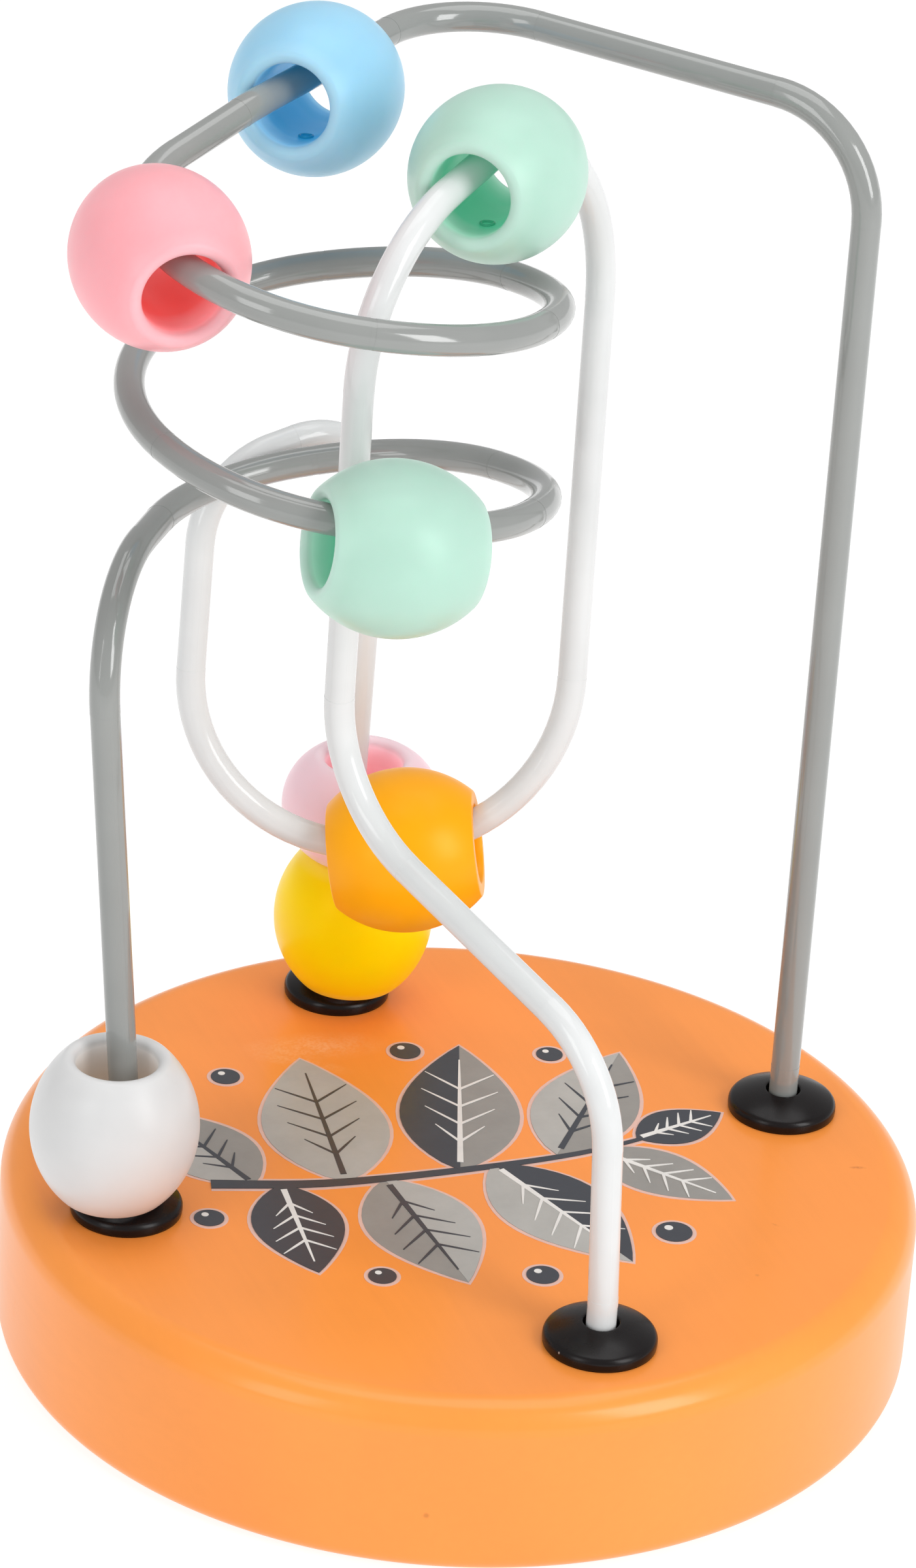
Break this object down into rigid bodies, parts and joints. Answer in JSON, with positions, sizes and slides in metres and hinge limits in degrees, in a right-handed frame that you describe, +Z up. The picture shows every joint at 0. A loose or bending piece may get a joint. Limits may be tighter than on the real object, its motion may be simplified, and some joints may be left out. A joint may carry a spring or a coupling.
{
  "type": "bead maze",
  "caption": "Small table bead maze: round painted base, two bent wires looping between black caps, and pastel beads that slide along the wires.",
  "frame": {"origin": "centre of the flat underside of the base", "axes": "+Z up; +X towards the grey wire's right post; +Y towards the white wire's rear post"},
  "size_m": [0.1, 0.1, 0.1425],
  "materials": {
    "base_paint": "satin paint",
    "cap_plastic": "glossy",
    "grey_coating": "glossy coating",
    "white_coating": "glossy coating",
    "white_plastic": "satin",
    "mint_plastic": "satin",
    "pink_plastic": "satin",
    "blue_plastic": "satin",
    "orange_paint": "satin paint",
    "yellow_plastic": "satin",
    "light_pink_plastic": "satin"
  },
  "bodies": {
    "root": {"base": "base_paint", "left_cap": "cap_plastic", "right_cap": "cap_plastic", "front_cap": "cap_plastic", "rear_cap": "cap_plastic", "grey_wire": "grey_coating", "white_wire": "white_coating"},
    "white_bead": {"white_bead": "white_plastic"},
    "lower_mint_bead": {"lower_mint_bead": "mint_plastic"},
    "pink_bead": {"pink_bead": "pink_plastic"},
    "blue_bead": {"blue_bead": "blue_plastic"},
    "upper_mint_bead": {"upper_mint_bead": "mint_plastic"},
    "orange_bead": {"orange_bead": "orange_paint"},
    "yellow_bead": {"yellow_bead": "yellow_plastic"},
    "light_pink_bead": {"light_pink_bead": "light_pink_plastic"}
  },
  "joints": [
    {"name": "white_bead_slide", "type": "slide", "parent": "root", "child": "white_bead", "axis": [-0.0497, 0.0935, 0.9944], "range_m": [0, 0.04]},
    {"name": "lower_mint_bead_travel", "type": "hinge", "parent": "root", "child": "lower_mint_bead", "pos_m": [-0.01609, 0.00719, 0.1016], "axis": [-0.1587, -0.0754, -0.9844], "range_deg": [-70, 3]},
    {"name": "pink_bead_travel", "type": "hinge", "parent": "root", "child": "pink_bead", "pos_m": [-0.01673, 0.00714, 0.13031], "axis": [-0.1864, -0.0677, -0.9801], "range_deg": [-45, 0]},
    {"name": "blue_bead_slide", "type": "slide", "parent": "root", "child": "blue_bead", "axis": [0.8022, 0.5957, 0.04], "range_m": [-0.001, 0.008]},
    {"name": "upper_mint_bead_travel", "type": "hinge", "parent": "root", "child": "upper_mint_bead", "pos_m": [0.00016, 0.00801, 0.11169], "axis": [-0.531, 0.8321, 0.1599], "range_deg": [-45, 0]},
    {"name": "orange_bead_travel", "type": "hinge", "parent": "root", "child": "orange_bead", "pos_m": [-0.00369, 0.02168, 0.07025], "axis": [0.4369, 0.88, -0.1862], "range_deg": [-60, 30]},
    {"name": "yellow_bead_slide", "type": "slide", "parent": "root", "child": "yellow_bead", "axis": [-0.0126, -0.0768, 0.997], "range_m": [0, 0.016]},
    {"name": "light_pink_bead_slide", "type": "slide", "parent": "yellow_bead", "child": "light_pink_bead", "axis": [-0.0126, -0.0768, 0.997], "range_m": [0, 0.016]}
  ]
}
